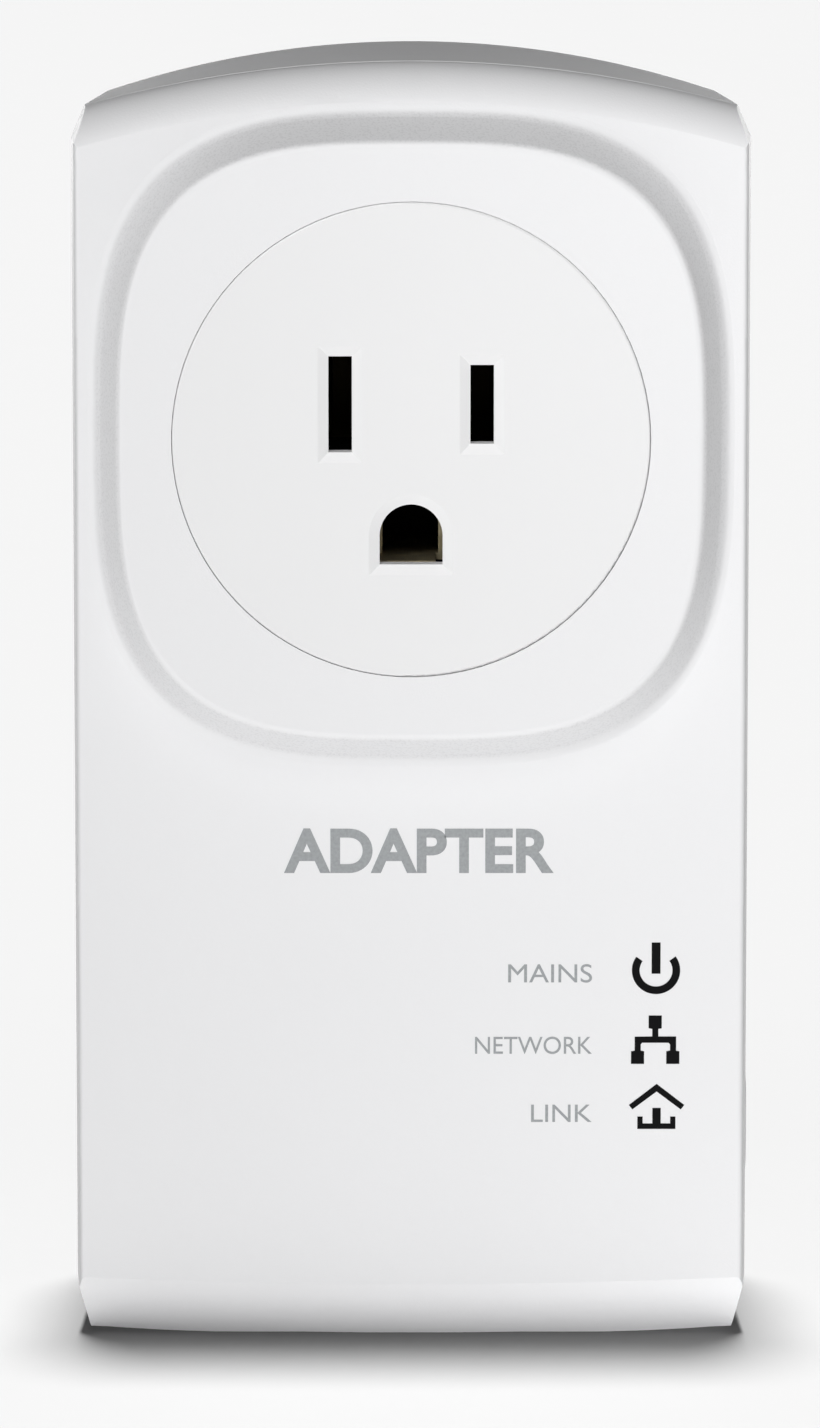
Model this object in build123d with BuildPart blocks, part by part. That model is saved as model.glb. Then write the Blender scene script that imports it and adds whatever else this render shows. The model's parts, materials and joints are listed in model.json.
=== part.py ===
from build123d import *
import math
import os

# A mains network adapter. It plugs into a wall outlet, passes the mains on to an outlet in its
# own front, and carries network data over the mains to a jack in its underside.
#
# Millimetres. X is to the right seen from the front, +Y points into the wall and +Z is up. The
# origin is on the outlet's axis, in the plane of the face that meets the wall. A "depth" is a
# distance in front of that face, so it runs along -Y.

# ---- driving dimensions: the body -------------------------------------------------------------
BASE_Z = -84.0  # underside, below the outlet's axis
CROWN_Z = 33.1  # top of the arched roof at the seam
SEAM_DEPTH = 26.5  # where the front cover meets the rear casing
FRONT_DEPTH = 32.0  # flat front of the cover
PAD_DEPTH = 36.0  # front of the raised pad round the outlet
WALL = 2.0
INNER_FRONT = FRONT_DEPTH - WALL

HALF_WIDTH = 30.6  # at the seam, the widest section
FOOT_HALF_WIDTH = 14.0  # flat part of the underside
HIP_Z = BASE_Z + 5.5  # the sides lean in below this
SHOULDER_Z = 26.2  # and above this
SEAM_CORNER = (29.35, 29.15)  # end of the roof's arc at the seam
BASE_CORNER_RISE = 0.65  # the underside's outer ends are this much higher than the foot
BASE_CORNER_INSET = 1.2

REAR_DRAFT = 1.1  # the casing is this much narrower on each side at the wall
REAR_CROWN_Z = 32.4
REAR_CORNER = (28.0, 27.8)
REAR_SHOULDER_Z = 24.8
REAR_EDGE_RADIUS = 0.8

SIDE_FLARE = 3.8  # degrees that the cover's sides open towards the seam
ROOF_DROP = CROWN_Z - SEAM_CORNER[1]
ROOF_RADIUS = (SEAM_CORNER[0] ** 2 + ROOF_DROP**2) / (2 * ROOF_DROP)
FLOOR_RADIUS = 670.0
ROOF_LAND = 1.0  # straight roof between the seam and its bevel
TOP_BEVEL = (4.5, 3.0, 5.4)  # run back, drop and radius of the rounded bevels
BASE_BEVEL = (5.5, 5.8, 9.3)
COVER_EDGE_RADIUS = 0.5
SEAM_EDGE_RADIUS = 0.3  # of the casing's edge at the seam
COVER_SET_IN = 0.05  # the cover is this much smaller than the casing all round
SEAM_GAP = (0.2, 0.5)  # width and depth of the groove that shows between cover and casing
TONGUE_REACH = 2.0  # tongue of the cover inside the casing
TONGUE_INSETS = (1.08, 1.88)
REBATE_INSET = 1.0

# ---- driving dimensions: the pad and the outlet ------------------------------------------------
PAD_FRONT_HALF = (26.25, 26.9)  # half width and half height of the pad's front
PAD_FOOT_HALF = (28.2, 29.25)  # and of the foot of its sloping wall
PAD_CENTER_Z = -0.2
PAD_POWER = 3.15  # of the superellipse
PAD_POINTS = 40
PAD_EDGE_RADIUS = 0.8
PAD_FOOT_RADIUS = 1.4
PAD_POCKET_INSET = 1.25

FACE_RADIUS = 21.4  # the outlet's round face
FACE_HOLE_RADIUS = 21.45
FLANGE_RADIUS = 22.6
FACE_BACK = 32.4
FACE_RECESS_BACK = 34.0  # the housing of the contacts reaches into the face's back, up to this
FACE_RECESS_XS = (-9.4, 9.4)
FACE_RECESS_ZS = (-12.9, 8.9)
PAD_WALL_BACK = PAD_DEPTH - WALL

BLADE_X = 6.35  # half of the half-inch spacing of the two blades
BLADE_Z = 3.2
GROUND_Z = -8.65
SLOT_WIDTH = 2.1
NEUTRAL_SLOT = 8.65  # the neutral slot is the taller one, on the left
LINE_SLOT = 7.1
SLOT_LEAD_IN = (0.95, 0.42)  # width and depth of the bevels round the slots
GROUND_HOLE_RADIUS = 2.82
GROUND_HOLE_FOOT = -11.26

# ---- driving dimensions: the plug ---------------------------------------------------------------
BLADE_THICKNESS = 1.52
LINE_BLADE = 6.35
NEUTRAL_BLADE = 7.9
BLADE_REACH = 17.5
BLADE_TIP = 0.5
BLADE_HOLE_Y = 11.9
BLADE_HOLE_RADIUS = 1.5
GROUND_PIN_RADIUS = 2.4
GROUND_PIN_REACH = 20.6
GROUND_PIN_TIP = 1.6
GROUND_SHANK_RADIUS = 2.0
CARRIER_SIZE = (26.0, 24.0)
CARRIER_FLANGE = (31.0, 29.0)
CARRIER_Z = -2.4
CARRIER_CORNER = 3.0
CARRIER_DEPTH = 9.0
BUSBAR_BACK = 9.2  # also where the blades and the pin end inside
BUSBAR_THICKNESS = 0.8
BUSBAR_WIDTH = 3.0
BUSBAR_FOOT_Z = -27.8

# ---- driving dimensions: the outlet's inside -----------------------------------------------------
HOUSING_HALF = 13.0
HOUSING_TOP_Z = 11.0
HOUSING_FOOT_Z = -15.0
HOUSING_BACK = 13.0
HOUSING_PLATE_HALF = 21.0
HOUSING_PLATE_BACK = 28.5
POST_OFFSET = 18.2  # the four screws round the outlet
POST_RADIUS = 2.5
SHEET_METAL = 0.6
CONTACT_BACK = 18.4
BLADE_CONTACT_FRONT = 26.0
BLADE_CONTACT_HEIGHT = 8.0
BLADE_POCKET_HALF = (2.4, 5.2)  # half width and half height
TAIL_SLOT_HALF_WIDTH = 1.6
TAIL_FOOT_Z = -31.6
GROUND_CONTACT_FRONT = 29.0
GROUND_FLOOR_FRONT = 33.8  # the channel's floor runs on to just behind the face
GROUND_FLOOR_XS = (-2.9, 2.2)
GROUND_FINGER_FRONT = 31.4  # a finger on its right side, above this height
GROUND_FINGER_FOOT_Z = -9.2
GROUND_LEAF_XS = (-2.9, 2.75)  # sides of the sprung channel round the pin
GROUND_LEAF_ZS = (-11.5, -6.2)  # its floor and the top of its sides
GROUND_POCKET_HALF_WIDTH = 3.35
GROUND_POCKET_ZS = (-12.0, -5.65)
POCKET_BACK = CONTACT_BACK - 0.1

# ---- driving dimensions: boards and jack -----------------------------------------------------------
BOARD_THICKNESS = 1.6
BOARD_HALF_WIDTH = 26.0
BOARD_TOP_Z = -25.0
BOARD_FOOT_Z = -79.5
POWER_BOARD_BACK = 6.0
COMMS_BOARD_BACK = 24.0
POWER_BOARD_FRONT = POWER_BOARD_BACK + BOARD_THICKNESS
COMMS_BOARD_FRONT = COMMS_BOARD_BACK + BOARD_THICKNESS
BOARD_SCREW_SPOTS = [(-22.3, -29.0), (22.3, -29.0)]
BOARD_REST_X = 14.0
BOARD_REST_Z = -72.0

# What stands on the boards. Blocks give their x span, height and z span.
CANS = {  # places, radius and height
    "bulk_capacitors": ([(-17.5, -50.0), (-17.5, -61.5)], 5.0, 14.0),
    "output_capacitor": ([(18.0, -68.5)], 4.0, 11.0),
    "fuse": ([(11.2, -34.0)], 2.0, 8.0),
}
POWER_BLOCKS = {
    "film_capacitor": ((-22.0, -10.0), 11.0, (-43.5, -36.0)),
    "bridge_rectifier": ((-7.0, 1.0), 2.4, (-58.0, -52.0)),
}
COMMS_BLOCKS = {
    "processor_chip": ((-9.0, 5.0), 1.4, (-50.0, -36.0)),
    "memory_chip": ((-22.0, -14.0), 1.1, (-44.0, -34.0)),
    "crystal": ((-20.0, -15.0), 1.2, (-50.0, -47.0)),
    "lan_magnetics": ((-6.0, 6.0), 3.4, (-66.0, -58.0)),
    "coupling_transformer": ((8.0, 17.0), 4.0, (-40.0, -32.0)),
}
CHIP_EASE = 0.3
CAN_EASE = 0.5
LEG_RADIUS = 0.4
VARISTOR_X = 19.5
VARISTOR_Z = -36.0
VARISTOR_RADIUS = 4.5
VARISTOR_THICKNESS = 3.5
VARISTOR_RISE = 6.0  # of its centre above the board
VARISTOR_LEG_SPACING = 5.0
CHOKE_Z = -41.0
CHOKE_RADII = (3.0, 6.0)
CHOKE_DEPTHS = (9.0, 14.0)
CHOKE_WIRE = 1.2
CORE_XS = (8.5, 22.5)
CORE_DEPTHS = (8.4, 20.4)
CORE_ZS = (-57.0, -47.0)
CORE_LEG = 4.0
CORE_WINDOW = 3.0
CORE_YOKE = 3.0
COIL_OVERHANG = 2.0
HEADER_XS = (-25.3, -23.0)
HEADER_ZS = (-58.0, -42.0)
HEAT_SINK_HEIGHT = 2.5
HEAT_SINK_FIN = 1.6
HEAT_SINK_GROOVES = 5
SHEET_XS = (-22.5, 25.0)  # insulation between the two boards
SHEET_DEPTHS = (22.6, 22.9)
SHEET_TOP_Z = -34.0

JACK_HALF_WIDTH = 7.95
JACK_HEIGHT = 21.0
JACK_FOOT_Z = BASE_Z + 0.6
JACK_TOP_Z = JACK_FOOT_Z + JACK_HEIGHT
JACK_FRONT = COMMS_BOARD_BACK
JACK_BACK = JACK_FRONT - 13.3
JACK_SHEET = 0.3
JACK_PITCH = 1.27
JACK_WIRE = 0.35
WIRE_RISES = (0.2, 1.6, 9.1)  # ends and bend of each wire, above the foot of its comb
WIRE_LEAN = 2.7
COMB_RISE = 2.4
COMB_DEPTH = 1.2
LATCH_STEPS = ((3.1, 1.6), (1.6, 2.6))  # half width and reach of the notch for the latch
PLUG_HALF_WIDTH = 5.9  # the jack's mouth
PLUG_BACK = JACK_BACK + 3.4
PLUG_FRONT = PLUG_BACK + 7.0
PLUG_TOP_Z = JACK_FOOT_Z + 15.0

# ---- driving dimensions: buttons, lights and screws ------------------------------------------------
BUTTON_Z = BASE_Z + 18.8
SWITCH_DEPTHS = (19.2, COMMS_BOARD_BACK)
BUTTON_DEPTH = sum(SWITCH_DEPTHS) / 2
BUTTON_SIZE = (9.0, 4.4)  # height and width
BUTTON_FLANGE = (11.0, 6.4)
BUTTON_FLANGE_XS = (27.2, 28.1)
BUTTON_FACE_X = 30.75
BUTTON_EDGE_RADIUS = 0.4
PLUNGER_TIP_X = 26.7
PLUNGER_RADIUS = 1.2
PLUNGER_REACH = 1.2  # length inside its switch
PLUNGER_ROOM = 0.5
PAIR_SWITCH_XS = (20.6, 25.6)
RESET_X = -11.5
RESET_HOLE_RADIUS = 0.8
RESET_SWITCH_ZS = (-78.0, -73.0)
RESET_HALF_WIDTH = 2.0
SWITCH_HALF = 3.0
SYMBOL_X = 22.3
SYMBOL_ZS = [BASE_Z + rise for rise in (34.9, 28.45, 22.1)]
LED_FRONT = COMMS_BOARD_FRONT + 0.7
LED_HALF = (0.8, 0.4)
LIGHT_RADIUS = 2.0
LIGHT_BAR_DEPTHS = (27.8, 29.0)
LIGHT_FRONT = INNER_FRONT + 1.1

SCREW_SPOTS = [(x, z) for x in (-24.5, 24.5) for z in (20.0, -76.0)]
BOSS_RADIUS = 3.3
BOSS_BACK = 9.0
WELL_RADIUS = 3.2
WELL_WALL = 1.2
WELL_DEPTH = 7.0
SCREW_RADIUS = 1.25
SMALL_SCREW_RADIUS = 1.0
SCREW_HEAD_RADIUS = 2.7
SCREW_TIP = 19.0
SMALL_HEAD_RADIUS = 1.9
OUTLET_SCREW_TIP = 33.0
SCREW_CLEARANCE = 0.15
THREAD_CLEARANCE = 0.02
THREAD_RADIUS = SMALL_SCREW_RADIUS + THREAD_CLEARANCE

SNUG = 0.03  # clearance of metal in the moulding that holds it
LOOSE = 0.1  # clearance of a part that drops into place

VENT_COUNT = 10
VENT_PITCH = 4.0
VENT_SIZE = (12.0, 1.6)  # along the depth, and high
VENT_DEPTH = 13.0
VENT_FOOT_Z = -24.0

LABEL_XS = (-19.0, 19.0)
LABEL_ZS = (-66.0, -34.0)
LABEL_RECESS = 0.2
LABEL_THICKNESS = 0.15

os.makedirs("parts", exist_ok=True)


def save(part, name):
    """Labels a finished piece and writes it."""
    part.label = name
    export_step(part, f"parts/{name}.step")


def facing(depth):
    """A plane parallel to the wall, drawn as x and z, whose normal points to the front."""
    return Plane.XZ.offset(depth)


def block(xs, depths, zs, mode=Mode.ADD):
    """A box between two x values, two depths and two heights, in the part being built."""
    center = (sum(xs) / 2, -sum(depths) / 2, sum(zs) / 2)
    with Locations(center):
        Box(xs[1] - xs[0], depths[1] - depths[0], zs[1] - zs[0], mode=mode)


def rod(x, z, radius, depths, mode=Mode.ADD):
    """A cylinder along the depth, in the part being built."""
    with Locations((x, -sum(depths) / 2, z)):
        Cylinder(radius, depths[1] - depths[0], rotation=(90, 0, 0), mode=mode)


def screw(x, z, radius, head_radius, seat, tip):
    """A pan-head screw along the depth, with a cross recess. Its head stands on the seat."""
    way = 1 if tip > seat else -1
    top = seat - way * head_radius * 0.7
    recess = top + way * head_radius * 0.4
    rod(x, z, head_radius, sorted((top, seat)))
    rod(x, z, radius, sorted((seat, tip)))
    for half_x, half_z in ((0.55, 0.14), (0.14, 0.55)):
        reach_x = half_x * head_radius
        reach_z = half_z * head_radius
        spot = ((x - reach_x, x + reach_x), sorted((top, recess)), (z - reach_z, z + reach_z))
        block(*spot, mode=Mode.SUBTRACT)


# ---- shared shapes of the body -------------------------------------------------------------------
def half_outline(at_wall):
    """Corner points of the right half of the body's cross-section, from the foot to the crown."""
    half = HALF_WIDTH - (REAR_DRAFT if at_wall else 0.0)
    return (
        (half - BASE_CORNER_INSET, BASE_Z + BASE_CORNER_RISE),
        (half, HIP_Z),
        (half, REAR_SHOULDER_Z if at_wall else SHOULDER_Z),
        REAR_CORNER if at_wall else SEAM_CORNER,
        (0, REAR_CROWN_Z if at_wall else CROWN_Z),
    )


def body_outline(at_wall=False, inset=0.0):
    """Cross-section of the body at the seam or at the wall, inset from the outer skin."""
    low, hip, shoulder, corner, crown = half_outline(at_wall)
    depth = 0.0 if at_wall else SEAM_DEPTH
    foot = (FOOT_HALF_WIDTH, BASE_Z)
    with BuildSketch(facing(depth)) as outline:
        with BuildLine():
            Line((-foot[0], foot[1]), foot)
            TangentArc(foot, low, tangent=(1, 0))
            Polyline(low, hip, shoulder, corner)
            ThreePointArc(corner, crown, (-corner[0], corner[1]))
            Polyline(*[(-x, z) for x, z in (corner, shoulder, hip, low)])
            TangentArc((-foot[0], foot[1]), (-low[0], low[1]), tangent=(-1, 0))
        make_face()
        if inset:
            offset(amount=-inset, kind=Kind.INTERSECTION)
    return outline.sketch


def bevel_profile(rim, outward, bevel, land, axis_z, inset):
    """Half section, from an axis out to a roof or a floor that ends in a round bevel.

    outward is 1 for the roof, above its axis, and -1 for the floor, below its axis.
    """
    run, drop, radius = bevel
    share = (run - inset) / run
    level = rim - outward * inset
    back = (-(SEAM_DEPTH - 2 * WALL), level)
    start = (-(SEAM_DEPTH + land), level)
    end = (-(FRONT_DEPTH - inset), level - outward * drop * share)
    with BuildSketch(Plane.YZ) as profile:
        with BuildLine():
            Line(back, start)
            RadiusArc(start, end, -outward * radius * share)
            Polyline(end, (end[0], axis_z), (back[0], axis_z), back)
        make_face()
    return profile.sketch


def side_outline(inset):
    """The cover's sides at the seam, run on past the roof and the floor, which trim them."""
    low, hip, shoulder, corner, _ = half_outline(False)
    past = 5.0
    foot = BASE_Z - past
    top = CROWN_Z + past
    foot_lean = (hip[0] - low[0]) / (hip[1] - low[1])
    top_lean = (shoulder[0] - corner[0]) / (corner[1] - shoulder[1])
    right = [
        (hip[0] - inset - foot_lean * (hip[1] - foot), foot),
        (hip[0] - inset, hip[1]),
        (shoulder[0] - inset, shoulder[1]),
        (shoulder[0] - inset - top_lean * (top - shoulder[1]), top),
    ]
    with BuildSketch(facing(SEAM_DEPTH)) as outline:
        with BuildLine():
            Polyline(*right, *[(-x, z) for x, z in reversed(right)], close=True)
        make_face()
    return outline.sketch


def cover_form(inset=0.0):
    """The front body without its pad: flared sides, arched roof and nearly flat floor."""
    roof_z = CROWN_Z - ROOF_RADIUS
    floor_z = BASE_Z + FLOOR_RADIUS
    set_in = inset + COVER_SET_IN
    roof = bevel_profile(CROWN_Z - COVER_SET_IN, 1, TOP_BEVEL, ROOF_LAND, roof_z, inset)
    floor = bevel_profile(BASE_Z + COVER_SET_IN, -1, BASE_BEVEL, 0.0, floor_z, inset)
    with BuildPart() as form:
        extrude(side_outline(set_in), amount=FRONT_DEPTH - SEAM_DEPTH - inset, taper=SIDE_FLARE)
        revolve(roof, axis=Axis((0, 0, roof_z), (0, 1, 0)), mode=Mode.INTERSECT)
        revolve(floor, axis=Axis((0, 0, floor_z), (0, 1, 0)), mode=Mode.INTERSECT)
    return form.part


def pad_outline(depth, half, inset=0.0):
    """A superellipse round the outlet, of a half width and a half height less an inset."""
    half_x = half[0] - inset
    half_z = half[1] - inset
    points = []
    for i in range(PAD_POINTS):
        angle = 2 * math.pi * (i + 0.5) / PAD_POINTS
        across = abs(math.cos(angle) / half_x) ** PAD_POWER
        along = abs(math.sin(angle) / half_z) ** PAD_POWER
        radius = (across + along) ** (-1 / PAD_POWER)
        points.append((radius * math.cos(angle), PAD_CENTER_Z + radius * math.sin(angle)))
    with BuildSketch(facing(depth)) as outline:
        with BuildLine():
            Spline(*points, periodic=True)
        make_face()
    return outline.sketch


def tongue_ring():
    """Section of the tongue that aligns the two halves."""
    with BuildSketch(facing(SEAM_DEPTH)) as ring:
        add(body_outline(inset=TONGUE_INSETS[0]))
        add(body_outline(inset=TONGUE_INSETS[1]), mode=Mode.SUBTRACT)
    return ring.sketch


def lies_at(edge, depth):
    """Whether an edge lies in one plane parallel to the wall."""
    return max(abs(edge.position_at(t).Y + depth) for t in (0, 0.5, 1)) < 0.01


# ---- front cover -----------------------------------------------------------------------------------
pad_rise = PAD_DEPTH - FRONT_DEPTH
posts = [(x, z) for x in (-POST_OFFSET, POST_OFFSET) for z in (-POST_OFFSET, POST_OFFSET)]

with BuildPart() as front_cover:
    add(cover_form())
    rim = [e for e in front_cover.edges().filter_by(GeomType.LINE) if lies_at(e, FRONT_DEPTH)]
    fillet([e for e in rim if e.length > HALF_WIDTH], COVER_EDGE_RADIUS)
    pad_foot = pad_outline(FRONT_DEPTH, PAD_FOOT_HALF)
    pad_front = pad_outline(PAD_DEPTH, PAD_FRONT_HALF)
    loft([pad_foot.face(), pad_front.face()], ruled=True)
    foot = [e for e in front_cover.edges() if lies_at(e, FRONT_DEPTH) and e.is_closed]
    fillet(foot, PAD_FOOT_RADIUS)
    fillet([e for e in front_cover.edges() if lies_at(e, PAD_DEPTH)], PAD_EDGE_RADIUS)
    add(cover_form(WALL), mode=Mode.SUBTRACT)
    pocket = pad_outline(PAD_WALL_BACK, PAD_FRONT_HALF, PAD_POCKET_INSET)
    extrude(pocket, amount=-(PAD_WALL_BACK - INNER_FRONT + WALL / 4), mode=Mode.SUBTRACT)
    rod(0, 0, FACE_HOLE_RADIUS, (PAD_WALL_BACK - WALL, PAD_DEPTH + WALL), mode=Mode.SUBTRACT)
    extrude(tongue_ring(), amount=-TONGUE_REACH)
    for x, z in SCREW_SPOTS:
        rod(x, z, BOSS_RADIUS, (BOSS_BACK, INNER_FRONT + WALL / 2))
        rod(x, z, SCREW_RADIUS + THREAD_CLEARANCE, (BOSS_BACK, SCREW_TIP + 1), mode=Mode.SUBTRACT)
    for x, z in posts:
        rod(x, z, POST_RADIUS, (INNER_FRONT, PAD_WALL_BACK + WALL / 4))
        rod(x, z, THREAD_RADIUS, (INNER_FRONT, OUTLET_SCREW_TIP + LOOSE), mode=Mode.SUBTRACT)
    for x, z in BOARD_SCREW_SPOTS:
        rod(x, z, POST_RADIUS, (COMMS_BOARD_FRONT, INNER_FRONT + WALL / 4))
        rod(x, z, THREAD_RADIUS, (COMMS_BOARD_FRONT, INNER_FRONT - WALL / 4), mode=Mode.SUBTRACT)
    for z in SYMBOL_ZS:
        rod(SYMBOL_X, z, LIGHT_RADIUS + LOOSE, (INNER_FRONT - 1, LIGHT_FRONT + LOOSE), mode=Mode.SUBTRACT)
save(front_cover.part, "front_cover")

# ---- rear casing -----------------------------------------------------------------------------------
gap_width, gap_depth = SEAM_GAP

with BuildPart() as rear_casing:
    loft([body_outline(True).face(), body_outline(False).face()], ruled=True)
    split(bisect_by=facing(SEAM_DEPTH - gap_width), keep=Keep.BOTTOM)
    fillet([e for e in rear_casing.edges() if lies_at(e, 0)], REAR_EDGE_RADIUS)
    fillet([e for e in rear_casing.edges() if lies_at(e, SEAM_DEPTH - gap_width)], SEAM_EDGE_RADIUS)
    extrude(body_outline(False, gap_depth), amount=-WALL)
    inner = [body_outline(True, WALL).face(), body_outline(False, WALL).face()]
    loft(inner, ruled=True, mode=Mode.SUBTRACT)
    extrude(body_outline(True, REBATE_INSET + REAR_EDGE_RADIUS / 2), amount=WALL)
    extrude(body_outline(False, REBATE_INSET), amount=-(TONGUE_REACH + LOOSE), mode=Mode.SUBTRACT)
    for x, z in SCREW_SPOTS:
        rod(x, z, WELL_RADIUS + WELL_WALL, (WALL / 2, BOSS_BACK))
        rod(x, z, WELL_RADIUS, (-WALL, WELL_DEPTH), mode=Mode.SUBTRACT)
        rod(x, z, SCREW_RADIUS + SCREW_CLEARANCE, (WELL_DEPTH, BOSS_BACK), mode=Mode.SUBTRACT)
    for x, z in BOARD_SCREW_SPOTS:
        rod(x, z, POST_RADIUS, (WALL / 2, POWER_BOARD_BACK))
        rod(x, z, THREAD_RADIUS, (WALL, POWER_BOARD_BACK), mode=Mode.SUBTRACT)
    for x in (-BOARD_REST_X, BOARD_REST_X):
        rod(x, BOARD_REST_Z, POST_RADIUS, (WALL / 2, POWER_BOARD_BACK))
    with BuildSketch(facing(WALL)):
        with Locations((0, CARRIER_Z)):
            window_size = [side + 2 * LOOSE for side in CARRIER_SIZE]
            RectangleRounded(*window_size, CARRIER_CORNER + LOOSE)
    extrude(amount=-2 * WALL, mode=Mode.SUBTRACT)
    port_xs = (-JACK_HALF_WIDTH - LOOSE, JACK_HALF_WIDTH + LOOSE)
    port_depths = (JACK_BACK - LOOSE, JACK_FRONT + LOOSE)
    block(port_xs, port_depths, (BASE_Z - WALL, BASE_Z + 2 * WALL), mode=Mode.SUBTRACT)
    with Locations((RESET_X, -BUTTON_DEPTH, BASE_Z)):
        Cylinder(RESET_HOLE_RADIUS, 4 * WALL, mode=Mode.SUBTRACT)
    with BuildSketch(Plane.YZ.offset(HALF_WIDTH - 2 * WALL)):
        with Locations((-BUTTON_DEPTH, BUTTON_Z)):
            SlotOverall(BUTTON_SIZE[0] + 3 * LOOSE, BUTTON_SIZE[1] + 3 * LOOSE, rotation=90)
    extrude(amount=4 * WALL, mode=Mode.SUBTRACT)
    for i in range(VENT_COUNT):
        vent_z = VENT_FOOT_Z + i * VENT_PITCH
        for x in (-HALF_WIDTH, HALF_WIDTH):
            with BuildSketch(Plane.YZ.offset(x - 2 * WALL)):
                with Locations((-VENT_DEPTH, vent_z)):
                    SlotOverall(*VENT_SIZE)
            extrude(amount=4 * WALL, mode=Mode.SUBTRACT)
    block(LABEL_XS, (-WALL, LABEL_RECESS), LABEL_ZS, mode=Mode.SUBTRACT)
save(rear_casing.part, "rear_casing")

# ---- the outlet: its face, the housing of its contacts and the contacts -----------------------------
with BuildPart() as socket_face:
    rod(0, 0, FACE_RADIUS, (FACE_BACK, PAD_DEPTH))
    rod(0, 0, FLANGE_RADIUS, (FACE_BACK, PAD_WALL_BACK - SNUG))
    with BuildSketch(facing(PAD_DEPTH)):
        with Locations((-BLADE_X, BLADE_Z)):
            Rectangle(SLOT_WIDTH, NEUTRAL_SLOT)
        with Locations((BLADE_X, BLADE_Z)):
            Rectangle(SLOT_WIDTH, LINE_SLOT)
        with Locations((0, GROUND_Z)):
            Circle(GROUND_HOLE_RADIUS)
        foot_height = GROUND_Z - GROUND_HOLE_FOOT
        with Locations((0, GROUND_Z - foot_height / 2)):
            Rectangle(2 * GROUND_HOLE_RADIUS, foot_height)
        with Locations((0, GROUND_HOLE_FOOT - GROUND_HOLE_RADIUS / 2)):
            Rectangle(3 * GROUND_HOLE_RADIUS, GROUND_HOLE_RADIUS, mode=Mode.SUBTRACT)
    extrude(amount=-pad_rise, mode=Mode.SUBTRACT)
    front = socket_face.faces().filter_by(Axis.Y).sort_by(Axis.Y)[0]
    mouth = [e for e in front.edges() if e.length < FACE_RADIUS]
    chamfer(mouth, *SLOT_LEAD_IN, reference=front)
    fillet([e for e in socket_face.edges() if lies_at(e, PAD_DEPTH) and e.length > FACE_RADIUS], 2 * LOOSE)
    block(FACE_RECESS_XS, (FACE_BACK, FACE_RECESS_BACK), FACE_RECESS_ZS, mode=Mode.SUBTRACT)
save(socket_face.part, "socket_face")

with BuildPart() as contact_housing:
    plate_xs = (-HOUSING_PLATE_HALF, HOUSING_PLATE_HALF)
    plate_depths = (HOUSING_PLATE_BACK, INNER_FRONT)
    block(plate_xs, plate_depths, plate_xs)
    fillet(contact_housing.edges().filter_by(Axis.Y), POST_RADIUS)
    block((-HOUSING_HALF, HOUSING_HALF), (HOUSING_BACK, FACE_BACK), (HOUSING_FOOT_Z, HOUSING_TOP_Z))
    boss_xs = (FACE_RECESS_XS[0] + LOOSE, FACE_RECESS_XS[1] - LOOSE)
    boss_zs = (FACE_RECESS_ZS[0] + LOOSE, FACE_RECESS_ZS[1] - LOOSE)
    boss_front = FACE_RECESS_BACK - SNUG
    block(boss_xs, (FACE_BACK, boss_front), boss_zs)
    half_x, half_z = BLADE_POCKET_HALF
    tail_depths = (POCKET_BACK, CONTACT_BACK + SHEET_METAL + LOOSE)
    for x in (-BLADE_X, BLADE_X):
        pocket_xs = (x - half_x, x + half_x)
        pocket_zs = (BLADE_Z - half_z, BLADE_Z + half_z)
        block(pocket_xs, (POCKET_BACK, boss_front), pocket_zs, mode=Mode.SUBTRACT)
        slot_xs = (x - TAIL_SLOT_HALF_WIDTH, x + TAIL_SLOT_HALF_WIDTH)
        block(slot_xs, tail_depths, (HOUSING_FOOT_Z - 1, BLADE_Z), mode=Mode.SUBTRACT)
    ground_xs = (-GROUND_POCKET_HALF_WIDTH, GROUND_POCKET_HALF_WIDTH)
    block(ground_xs, (POCKET_BACK, boss_front), GROUND_POCKET_ZS, mode=Mode.SUBTRACT)
    slot_xs = (-TAIL_SLOT_HALF_WIDTH, TAIL_SLOT_HALF_WIDTH)
    slot_zs = (GROUND_LEAF_ZS[0] - SHEET_METAL, GROUND_LEAF_ZS[0] + SHEET_METAL)
    block(slot_xs, (HOUSING_BACK - 1, POCKET_BACK), slot_zs, mode=Mode.SUBTRACT)
    for x, z in posts:
        rod(x, z, SMALL_SCREW_RADIUS + SCREW_CLEARANCE, plate_depths, mode=Mode.SUBTRACT)
save(contact_housing.part, "contact_housing")


def blade_contact(x):
    """A sprung fork for one blade, with a tail down to the power board."""
    half_gap = BLADE_THICKNESS / 2 + SNUG + SHEET_METAL / 2
    flare = half_gap + SHEET_METAL
    back = CONTACT_BACK + SHEET_METAL / 2
    neck = BLADE_CONTACT_FRONT - 3 * SHEET_METAL
    with BuildPart() as contact:
        with BuildSketch(Plane.XY.offset(BLADE_Z - BLADE_CONTACT_HEIGHT / 2)):
            with BuildLine():
                Polyline(
                    (x - flare, -BLADE_CONTACT_FRONT),
                    (x - half_gap, -neck),
                    (x - half_gap, -back),
                    (x + half_gap, -back),
                    (x + half_gap, -neck),
                    (x + flare, -BLADE_CONTACT_FRONT),
                )
            trace(line_width=SHEET_METAL)
        extrude(amount=BLADE_CONTACT_HEIGHT)
        xs = (x - BUSBAR_WIDTH / 2, x + BUSBAR_WIDTH / 2)
        block(xs, (CONTACT_BACK, CONTACT_BACK + SHEET_METAL), (TAIL_FOOT_Z, BLADE_Z))
        leg_depths = (POWER_BOARD_FRONT, CONTACT_BACK + SHEET_METAL)
        block(xs, leg_depths, (TAIL_FOOT_Z, TAIL_FOOT_Z + SHEET_METAL))
    return contact.part


save(blade_contact(BLADE_X), "line_contact")
save(blade_contact(-BLADE_X), "neutral_contact")

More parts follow.
